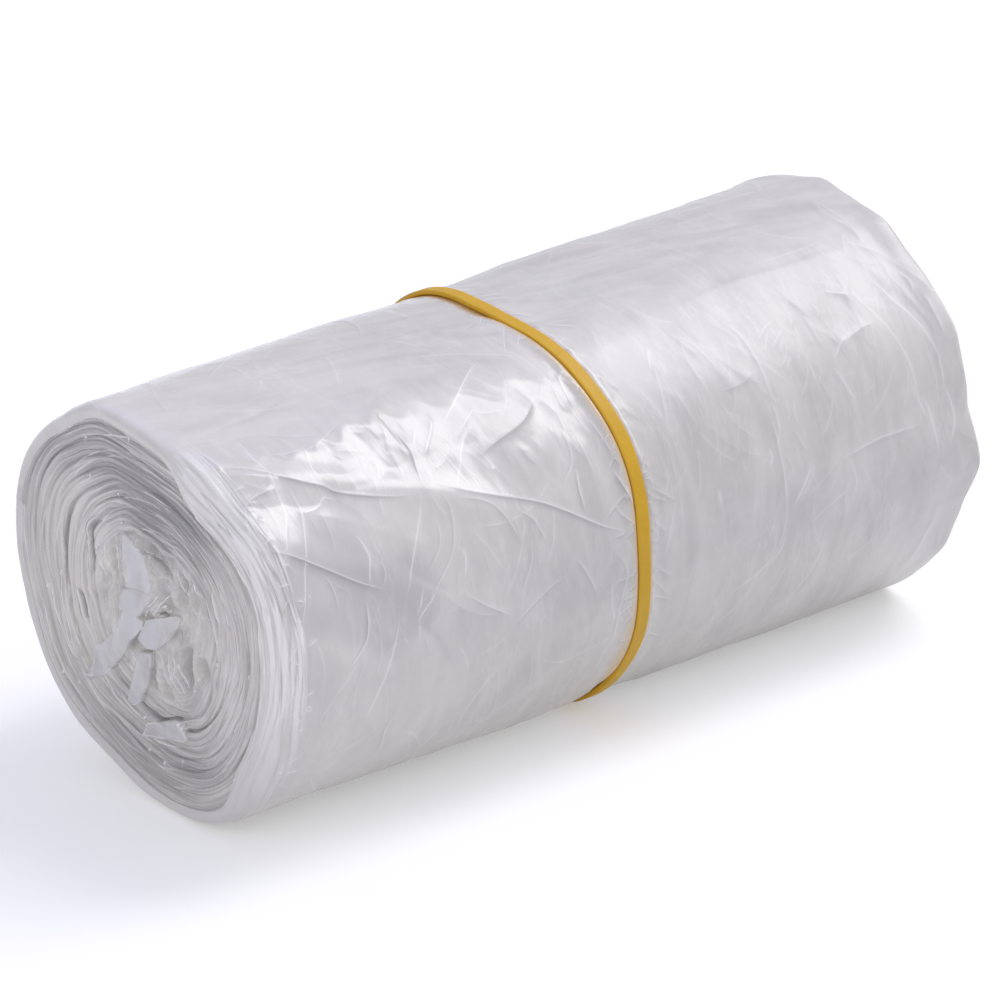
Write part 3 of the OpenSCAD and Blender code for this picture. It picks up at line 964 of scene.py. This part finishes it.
def skin_tints(film, side, slid, angle, depth, beside):
    """What the film's material reads for each point."""
    # The band's yellow light, shown through the film that laps it, is painted into the film's colour, more so
    # low down.
    spread = 0.9 + 1.2 * smooth((angle - 180) / 45) if side < 0 else 0.35
    glow = np.exp(-(np.maximum(beside, 0) / spread) ** 2) * (0.85 if side < 0 else 0.5)
    lip = slid * smooth(-(film.u + 69.5)) * smooth((200 - angle) / 28)
    on_side = depth > 40
    # valley is painted shade where the relief sinks, and shade is painted shade at the feet of creases.
    return {"white": film.tint("white"), "shade": film.tint("shade"),
            "valley": np.clip(-film.relief * 1.2 - 0.1, 0, 0.5),
            "band_glow": np.where(on_side, glow, 0),
            "by_band": np.where(on_side, np.exp(-np.maximum(beside, 0) / 2), 0),
            "fold": film.fold_lines(),
            "unrolled": np.stack([film.u, film.v, lip * np.ones(film.u.shape)], axis=-1)}


# %% The four sheets of the skin


def skin_piece(name, side, clock, joint=None):
    """Film from inside a rim to the middle of the band. joint holds a last row to close on."""
    angle = clock[:, None]
    slid = slid_lip(angle, side)
    depth, inward, curl, facing, unrolled = skin_profile(side, slid)
    x = side * (LENGTH / 2 - depth)
    film = Surface(unrolled, np.broadcast_to(angle * ROUND, unrolled.shape).copy())
    creased_film(film, side, slid, angle)

    # The relief dies away towards the seam under the band.
    relief = film.relief * smooth((np.abs(x) - 0.2) / 2.2)
    ear = flare(angle, side) * np.interp(depth, [0, 1, 5, 12] if side > 0 else [0, 1, 9, 20],
                                         [0.9, 1, 0.35, 0])
    # Beside the band the slack film wells up and half hides the band's flank.
    beside = np.abs(x) - BAND_WIDTH / 2
    lap = smooth((angle - 84) / 14) * smooth((234 - angle) / 18) if side < 0 else 0.4
    ear = ear + 0.75 * lap * np.exp(-((beside - 0.4) / 1.3) ** 2) * smooth((beside + 0.4) / 0.5)
    radius = film_radius(x, angle) - curl - inward
    radius = over_table(radius + relief * facing[1] + ear, angle)
    places = placed(x + relief * facing[0], angle, radius, (inward + curl) / RADIUS)

    tints = skin_tints(film, side, slid, angle, depth, beside)
    if joint:
        places[-1] = joint[0]
        for label, values in tints.items():
            values[-1] = joint[1][label]
    middle = Vector((0, AXIS_Y, AXIS_HEIGHT)) / 1000
    sheet_from_grid(name, places, tints, lambda p: (p - middle) * Vector((0, 1, 1)),
                    film_skin, "bag_roll")
    return places[0], {label: values[0] for label, values in tints.items()}


# The front holds many more rows than the back, where no picture shows the film.
FRONT = np.linspace(TAIL_ANGLE, 270, 430)
BACK = np.append(np.linspace(270, TAIL_ANGLE + 359, 130), TAIL_ANGLE + 360)
for half, side in (("near", -1), ("far", 1)):
    free_edge = skin_piece(f"{half}_skin_front", side, FRONT)
    skin_piece(f"{half}_skin_back", side, BACK, free_edge)

# %% [markdown]
# ## The wound ends
# An end shows the cut edges of hundreds of layers: fine streaks that follow the rim,
# a gap here and there between one turn and the next, and a heart of folded film, with
# flat tabs where the winding began. A disc of points takes the larger forms as a
# height. The finest layers come from the material, on coordinates that follow the
# winding: a noise that is squeezed across the layers and stretched along them.

# %% The material of the cut edges
LAYER_LIGHT, LAYER_DARK = (0.775, 0.748, 0.706), (0.235, 0.227, 0.221)
TAB_TONE, CREVICE_SHADE = (0.66, 0.655, 0.68), (0.17, 0.16, 0.15)

film_edges, g = material("film_edges")
where = g.add("ShaderNodeTexCoord", output="Object")
winding = g.attribute("winding", "Vector")
fine = g.noise(g.scaled(winding, (0.5, 0.5, 1.0)), 1.5, 2, 0.6)
finest = g.noise(g.scaled(winding, (0.3, 0.3, 1.7)), 4.2, 2, 0.6)
strands = g.noise(g.scaled(where, (1.0, 3.0, 0.5)), 130, 2, 0.5, 0.5)
fleck = g.noise(where, 900, 4, 0.6)
# How far inside a flat tab, in mm: negative outside, so its edge can be drawn sharp.
into_tab = g.attribute("into_tab")
tab = (into_tab * 5 + 0.5).clamped()
# A painted highlight along each tab's edge.
painted_tab_rim = (1 - (into_tab - 0.14) * (into_tab - 0.14) * 60).clamped()
loose = 1 - tab
# Where the upper layers lie close and look darker, partly their own tone and partly painted shade.
tight = g.attribute("tight")
in_heart = g.attribute("in_heart")
lines = (fine - 0.5) * (1.5 + tight * 1.4) + (finest - 0.5) * (0.8 + tight * 1.0)
lines = lines * (1 - in_heart * 0.88) + (strands - 0.5) * in_heart * 0.5
# Painted sparkles: small highlights scattered over the loose layers.
sparkle = (((finest - 0.60) * 9).clamped() * ((fleck - 0.45) * 5).clamped()
           * loose * (1 - tight * 0.6))
crest, foot, fold_height = crease_lines(g)
lines = lines * (1 - tab * 0.6)

# %% Its colours and shader
# The streak carries the layers' own tone together with painted shade and painted sheen.
pale = g.attribute("streak") + lines + (fleck - 0.5) * 0.12
edge = g.colours(pale.clamped(), LAYER_DARK, LAYER_LIGHT)
edge = g.colours((tab * (strands * 1.9 - 0.42 + fleck * 0.25)).clamped(), edge, TAB_TONE)
# Painted shadow in the crevices and hollows, and painted shade at the feet of fold lines.
edge = g.colours(g.attribute("dark"), edge, CREVICE_SHADE)
edge = g.colours((foot * 1.2).clamped(), edge, FILM_SHADE)
# Painted highlights: glints and pale crests from the white strokes, sparkles, and a bright line along each tab's
# edge.
bright = g.attribute("white") + crest * 1.8 + sparkle * 0.7 + painted_tab_rim * 0.5
edge = g.colours(bright.clamped(), edge, FILM_WHITE)
bump = g.add("ShaderNodeBump", {
    "Strength": 0.6, "Distance": 0.0003,
    "Height": lines * 0.7 + fold_height * 0.6 + strands * (0.5 + tab * 0.5)})
shader = g.add("ShaderNodeBsdfPrincipled", {
    "Base Color": edge, "Roughness": 0.14 + fleck * 0.12 + tab * 0.03, "IOR": 1.5,
    "Coat Weight": 0.4 + finest * 0.5, "Coat Roughness": 0.07, "Normal": bump})
g.add("ShaderNodeOutputMaterial", {"Surface": shader})

# %% Details seen on the near end
# Points are millimetres from the roll's axis: towards +Y, then up.
STRANDS = [
    [(17.5, 7.0), (16.2, 4.2), (14.4, 1.3)], [(15.0, 8.2), (14.3, 5), (13.3, 1.4)],
    [(12.2, 8.5), (11.4, 2.1)], [(0.6, -6.9), (-1.0, -9.5), (-2.6, -13.2)],
    [(-1.3, -6.5), (-2.5, -9), (-4.1, -12.6)], [(-3.2, -6.4), (-4.0, -9.5), (-5.4, -12.8)],
    [(-4.7, -6.5), (-5.2, -9), (-6.5, -11.7)], [(-4.2, 9.4), (-6.4, 5.0)],
    [(-5.6, 10.2), (-8.3, 5.6)], [(-7.5, 11.1), (-10.2, 6.7)], [(0.3, 3.6), (4.8, -2.6)],
    [(-1.6, 4.0), (1.8, -0.8)], [(28.4, -3.4), (25.6, -10), (20.9, -16.5)],
    [(25.9, -1.9), (23.8, -9), (20.9, -15.8)], [(22.7, -11.1), (20.9, -15.8)],
    [(-11.6, 8.0), (-15.2, 0.3), (-14.9, -4.4)], [(-13.5, 9.7), (-16.1, 3.3)],
    [(-16.3, 10.3), (-18.5, 3.4)]]
CREVICES = [
    [(14.9, 13.8), (15.4, 11.9), (17.4, 10.3), (18.5, 8.3), (18.4, 3.8), (18.7, 1.1),
     (20.2, -1.1)],
    [(22.7, -2.7), (21.4, -3.5), (20.4, -5.7), (19.6, -8.2), (18.5, -8.7)],
    [(5.7, 10.3), (3.4, 9.5), (-0.4, 8.9), (-3.2, 7.9), (-4.1, 6.4)],
    [(4.3, -4.1), (5.4, -5.7), (6.8, -7.2), (5.4, -7.4)], [(-1.0, 2.8), (0.9, 0.1), (-3.4, 1.1)],
    [(5.2, -18.1), (2.3, -19.0), (-0.4, -19.1), (-4.4, -17.4), (-5.9, -16.5)]]
# The glints are painted highlights: short white strokes in the colour.
GLINTS = [(25.3, -0.7), (28.4, -4.1), (11.1, -6.4), (10.3, -1.8), (10.0, 13.3), (10.4, 18.3),
          (16.5, 27.0), (18.2, 30.7), (29.9, 21.0), (4.4, 31.0), (28.6, 2.5), (16.5, 20.0),
          (24.0, -18.2), (26.0, -20.2), (-14.9, -3.3), (-8.5, -10.5), (4.0, -19.8),
          (-6.8, -23.6), (-2.4, -25.3), (1.7, -24.7), (20.2, -18.9), (-24.5, -1.8)]
# How deep each flat tab lies, how it tilts, and its corners.
TABS = [
    (2.5, (0.03, -0.05), [(9.7, 10.9), (9.2, 11.6), (6.3, 10.1), (4.4, 9.2), (3.3, 6.7),
                          (2.4, 3.7), (3.6, 2.0), (9.9, 1.5)]),
    (2.1, (-0.02, 0.10), [(9.9, 1.3), (7.0, 2.0), (2.7, 2.3), (3.0, 1.1), (5.3, -2.2),
                          (7.2, -3.3), (8.6, -2.8), (10.5, -2.2)]),
    (2.3, (0.06, 0.02), [(9.6, -2.4), (4.8, -2.6), (4.1, -4.0), (7.9, -7.6), (10.8, -12.0),
                         (15.4, -16.6), (18.4, -18.1), (18.8, -17.3), (18.2, -12.8),
                         (14.7, -9.5)]),
    (2.0, (-0.07, 0.04), [(3.1, -1.8), (-3.9, 1.2), (-5.2, 1.2), (-4.6, -0.9), (-2.4, -3.8),
                          (0.6, -6.5), (3.0, -7.1), (4.9, -5.9)]),
    (2.2, (0.05, 0.03), [(5.5, -8.7), (3.0, -8.1), (2.6, -10.5), (3.5, -14.2), (5.8, -18.3),
                         (7.7, -19.4), (9.1, -18.9), (8.1, -15.2), (6.9, -11.8)]),
    (2.0, (0.0, -0.08), [(3.7, -21.0), (-3.4, -17.8), (-4.9, -17.6), (-7.1, -20.0),
                         (-6.3, -20.9), (-2.0, -22.0), (4.6, -23.6)])]

# %% The layers, and the gaps between turns
# How far out the gaps reach, as a share of the rim's radius, how many turns lie between
# there and the heart, and how far a gap wanders, as a share of the room for one turn.
FIRST_GAP, TURNS, WANDER = 0.9645, 7, 0.14
# How deep the dish of the end and a gap are, and how far the turns are staggered, in mm.
DISH, GAP_DEPTH, STAGGER = 2.4, 0.45, 0.5
RIM = RADIUS - LIP_INSET


def turn_line(turns):
    """Where the gap lies after so many turns, as a share of the rim's radius."""
    room = (FIRST_GAP - HEART_RADIUS / RIM) / (TURNS + 2 * WANDER)
    drift = WANDER * np.sin(np.radians(1210 * turns)) * np.sin(np.radians(97 * turns))
    return FIRST_GAP - room * (WANDER + turns + drift)


def wound_layers(seed, share, turn):
    """How far across the layers each point lies, in mm, and streaks that follow them."""
    turn = turn + 0 * share
    inward = (RIM * (1 - share) + 0.9 * noise(seed, share * 7, turn * 9, 9)
              + 0.25 * noise(seed, share * 25, turn * 24, 24))
    return inward, (0.14 * noise(seed + 1, inward / 1.7, turn * 7, 7)
                    + 0.12 * noise(seed + 2, inward / 0.85, turn * 14, 14)
                    + 0.07 * noise(seed + 3, inward / 0.45, turn * 26, 26))


def turn_gaps(seed, share, turn, depth, solid):
    """Sink each turn by its own step, and open the gaps between the turns."""
    gaps = np.zeros(share.shape)
    for n in range(TURNS + 1):
        wound = turn + n
        line = turn_line(wound) * RIM
        width = 0.20 + 0.08 * noise(seed + 4, wound * 5, wound * 0 + 3.5)
        strength = np.clip(0.35 + 0.9 * noise(seed + 5, wound * 6, wound * 0 + 1.5), 0.03, 1)
        gap = strength * np.exp(-((share * RIM - line) / width) ** 2)
        gaps = np.maximum(gaps, gap * (wound < TURNS + 0.4))
        step = 0.5 * STAGGER * (1 + np.sin(np.radians(205 * wound))) * smooth(wound)
        inside = (smooth((line - share * RIM) / 0.3 + 0.5)
                  * smooth((share * RIM - turn_line(wound + 1) * RIM) / 0.3 + 0.5))
        depth = depth + 0.7 * inside * step * solid
    return depth + GAP_DEPTH * gaps * solid, gaps


# %% The folds and the tabs of the heart


def draw_heart(end, seed, flip):
    """Strands, crevices and glints seen on the near end, and short lines on the layers. The glints
    are painted highlights, the crevices painted shadow, and the strands and the film beside the
    crevices have painted shade at their feet.
    """
    for line in STRANDS:
        end.stroke([(flip * p, q) for p, q in line], 0.4, 0.3, 0.45, 1.1, 0.42,
                   steps=4, shade=0.7)
    for line in CREVICES:
        points = [(flip * p, q) for p, q in line]
        end.stroke(points, -0.7, 0.2, 0.4, 1.0, 0.22, tint="dark", steps=4)
        # Film stands up along a crevice's upper side, with painted shade at its foot.
        end.stroke([(p + 0.7, q + 0.3) for p, q in points], 0.35, 0.5, 0.9, 0.3,
                   steps=4, shade=0.8)
    for p, q in GLINTS:
        end.stroke([(flip * p, q), (flip * p + 0.3, q - 0.7)], 0.25, 0.2, 0.2, 1.0, 0.25,
                   steps=2, ends=0.05)
    rng = np.random.default_rng(seed + 10)
    for _ in range(110):
        at, out = rng.uniform(0, 360), rng.uniform(HEART_RADIUS, RIM - 2)
        reach = rng.uniform(3, 14)
        turned = [math.radians(at + k * math.degrees(reach / 3 / out)) for k in range(4)]
        end.stroke([(out * math.cos(t) + (1 - out / RIM) * HEART_BACK,
                     out * math.sin(t) - (1 - out / RIM) * HEART_DROP) for t in turned],
                   rng.uniform(0.04, 0.2), 0.15, 0.3, rng.uniform(0.05, 0.4), 0.22, steps=3)


def within(outline, y, z):
    """How far inside an outline each point lies, in mm. It is negative outside."""
    corners = np.array(outline)
    inside, nearest = np.zeros(y.shape, bool), np.full(y.shape, 1e9)
    for (ay, az), (by, bz) in zip(corners, np.roll(corners, -1, 0)):
        crosses = (az > z) != (bz > z)
        inside ^= crosses & (y < ay + (z - az) * (by - ay) / (bz - az if bz != az else 1e-9))
        along = ((y - ay) * (by - ay) + (z - az) * (bz - az)) / ((by - ay) ** 2 + (bz - az) ** 2)
        along = np.clip(along, 0, 1)
        off = np.hypot(y - ay - along * (by - ay), z - az - along * (bz - az))
        nearest = np.minimum(nearest, off)
    return np.where(inside, nearest, -nearest)


def lay_tabs(depth, y, z, seed, flip):
    """Lay the flat tabs over what they cover."""
    tab, into_tab = np.zeros(y.shape), np.full(y.shape, -1.0)
    for sink, tilt, outline in TABS:
        corners = [(flip * p, q) for p, q in outline]
        middle = np.mean(corners, axis=0)
        inside = within(corners, y, z)
        into_tab = np.maximum(into_tab, np.clip(inside, -1, 1))
        cover = smooth(inside / 0.22 + 0.3)
        plane = (sink + tilt[0] * (y - middle[0]) + tilt[1] * (z - middle[1])
                 + 0.25 * noise(seed + 15, y / 3.5, z / 3.5))
        depth = depth + (plane - depth) * cover
        tab = np.maximum(tab, cover)
    return depth, tab, into_tab


# %% The discs


def mound(y, z, y_half, z_half):
    """1 in the middle of a soft round patch."""
    return np.exp(-(y / y_half) ** 2 - (z / z_half) ** 2)


def end_streaks(y, z, layers, gaps, heart, ridged):
    """How light the layers are. The upper ones lie close and look darker, partly in their own
    tone and partly with painted shade. Painted shade also darkens the bottom, the gaps and
    the heart's hollows, and painted light brightens the heart's crests and a patch at each side.
    """
    tight = mound(y - 3, z - 20.5 - 0.10 * y, 18, 7.5)
    low = mound(y + 2, z + 27, 22, 7)
    painted_sheen = mound(y - 21, z - 2, 9, 16) + 0.8 * mound(y + 19, z + 4, 5, 13)
    streak = (0.66 + 0.8 * layers - 0.78 * tight - 0.3 * low + 0.22 * painted_sheen - 0.5 * gaps
              + heart * (0.28 * ridged - 0.14))
    return np.clip(streak, 0.0, 1), tight


def wound_end(name, side, seed, rows, rings):
    """The layers and the heart of one end, as a disc of points."""
    angle = np.linspace(TAIL_ANGLE, TAIL_ANGLE + 360, rows)[:, None]
    slid = slid_lip(angle, side)
    ring = np.linspace(0, 1, rings)[None, :]
    rim = RADIUS * section(np.float64(side * LENGTH / 2), angle) + 0.9 * flare(angle, side)
    rim = over_table(rim, angle) - LIP_INSET
    # The disc ends behind the skin's inner edge, which lies further in on the slid turns.
    share = ring * (1 - (0.7 + 2.8 * slid) / RIM)
    radius = rim * share
    a = np.radians(angle)
    y = radius * np.cos(a) + (1 - share) * HEART_BACK
    z = radius * np.sin(a) - (1 - share) * HEART_DROP
    end = Surface(y, z, (0.3, -0.85))
    turn = (angle - TAIL_ANGLE) / 360
    # The details were read off the near end, and the far end shows them mirrored.
    flip = 1 if side < 0 else -1
    heart = 1 - smooth((share * RIM - HEART_RADIUS + 2.5) / 3)

    inward, layers = wound_layers(seed, share, turn)
    dish = DISH * smooth((FIRST_GAP - share) / (FIRST_GAP - HEART_RADIUS / RIM))
    depth, gaps = turn_gaps(seed, share, turn, dish - layers * (1 - 0.5 * heart), 1 - heart)
    # The heart: film pressed into folds, and crevices between them.
    ridged = crumple(seed + 6, y, z, 4.6, 6.5)
    crumpled = (0.95 * ridged + 0.22 * crumple(seed + 9, y, z, 1.9, 3.6)
                + 0.10 * crumple(seed + 12, y + 0.4 * z, z, 0.8, 3.0))
    depth = depth + heart * (0.75 - crumpled)
    draw_heart(end, seed, flip)
    depth, tab, into_tab = lay_tabs(depth - end.relief + 0.35, y, z, seed, flip)
    if side < 0:
        # The layers sink behind the slid turns of the lip.
        depth = depth + 1.1 * slid * smooth((share - 0.78) / 0.1)
    places = placed(side * (LENGTH / 2 - depth), angle, radius, 1 - share)

    streak, tight = end_streaks(flip * y, z, layers, gaps, heart, ridged)
    # Painted shadow in the crevices, and painted shade in the heart's hollows.
    dark = end.tint("dark") * 1.9 + heart * np.clip(-0.6 * ridged, 0, 0.4)
    # Coordinates that follow the winding: round a small circle, and across the layers.
    follow = 1.3 + 0 * share
    tints = {"streak": streak, "dark": np.clip(dark, 0, 1) * (1 - 0.8 * tab),
             "white": end.tint("white") * 0.8, "into_tab": into_tab, "tight": tight,
             "winding": np.stack([follow * np.cos(a), follow * np.sin(a), inward], axis=-1),
             "in_heart": heart, "fold": end.fold_lines() * (1 - tab)[..., None]}
    places[-1] = places[0]
    for values in tints.values():
        values[-1] = values[0]
    sheet_from_grid(name, places, tints, lambda p: Vector((side, 0, 0)), film_edges, "bag_roll")


wound_end("near_end", -1, 200, 560, 176)
wound_end("far_end", 1, 300, 480, 120)

# %% [markdown]
# ## The rubber band
# A stretched rubber band is nearly rectangular with soft corners, and it is never quite
# even: its width wavers, and its edges ripple where the film under it does. It starts
# as a torus, whose ring is moved on to the seat and whose tube becomes that section.

# %% The band's form
BAND_STEPS, BAND_SIDES = 720, 24
# The smaller it is, the tighter the section's corners.
CORNER = 0.42
SEAT_STEPS = 721


def even_seat(clock):
    """The radius of the film under the band, evened out over a few degrees."""
    turn = np.linspace(0, 360, SEAT_STEPS)
    seat = film_radius(np.zeros(SEAT_STEPS), turn)
    kernel = np.exp(-(np.arange(-12, 13) / 6.0) ** 2)
    closed = np.concatenate([seat[-13:-1], seat, seat[1:13]])
    return np.interp(clock, turn, np.convolve(closed, kernel / kernel.sum(), "valid"))


def squared(wave):
    """A sine that stays long at its ends, for a rectangle with soft corners."""
    return np.sign(wave) * np.abs(wave) ** CORNER


bpy.ops.mesh.primitive_torus_add(major_segments=BAND_STEPS, minor_segments=BAND_SIDES,
                                 major_radius=1, minor_radius=0.25)
band = bpy.context.object
band.name = band.data.name = "rubber_band_loop"
flat = np.empty(len(band.data.vertices) * 3)
band.data.vertices.foreach_get("co", flat)
flat = flat.reshape(-1, 3)
clock = np.degrees(np.arctan2(flat[:, 1], flat[:, 0])) % 360
tube = np.arctan2(flat[:, 2], np.hypot(flat[:, 0], flat[:, 1]) - 1)
across, outward = squared(np.sin(tube)), squared(np.cos(tube))

# %% Its width, its ripple and its seat
turn = clock / 360
# 0 where the noise would jump, so nothing wavers there.
seam = smooth(np.minimum(turn, 1 - turn) * 40)
level = turn * 0 + 2.5
waver = 1 + (0.05 * noise(81, turn * 26, level) + 0.03 * noise(82, turn * 70, level)) * seam
ripple = 0.16 * noise(83, turn * 34, level - 1) * smooth((130 - np.abs(apart(clock, 70))) / 60)
x = across * BAND_WIDTH / 2 * waver + ripple * seam
seat = np.maximum(film_radius(np.zeros(len(clock)), clock) + 0.04,
                  even_seat(clock) + BAND_SEAT_GAP)
radius = seat + BAND_THICKNESS / 2 * (1 + outward) - 0.06 * np.cos(across * 2)
radius = over_table(radius, clock, AXIS_HEIGHT - 0.15)
band.data.vertices.foreach_set("co", placed(x, clock, radius).ravel())
band.data.update()
bpy.ops.object.shade_smooth()

# %% Its rubber
RUBBER_DEEP, RUBBER_PALE = (0.56, 0.31, 0.006), (0.78, 0.47, 0.016)

band_rubber, g = material("band_rubber")
where = g.add("ShaderNodeTexCoord", output="Object")
blotch = g.noise(where, 130, 4, 0.6, 0.4)
grain = g.noise(where, 2200, 3, 0.6)
rubber = g.colours((blotch * 0.7 + grain * 0.3).clamped(), RUBBER_DEEP, RUBBER_PALE)
bump = g.add("ShaderNodeBump", {"Strength": 0.3, "Distance": 0.0002, "Height": grain})
shader = g.add("ShaderNodeBsdfPrincipled", {
    "Base Color": rubber, "Roughness": 0.42 + grain * 0.2, "IOR": 1.5, "Normal": bump})
g.add("ShaderNodeOutputMaterial", {"Surface": shader})
band.data.materials.append(band_rubber)
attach(band, "root")
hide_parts("rubber_band")
bpy.ops.object.select_all(action="DESELECT")
print("band points:", len(band.data.vertices))
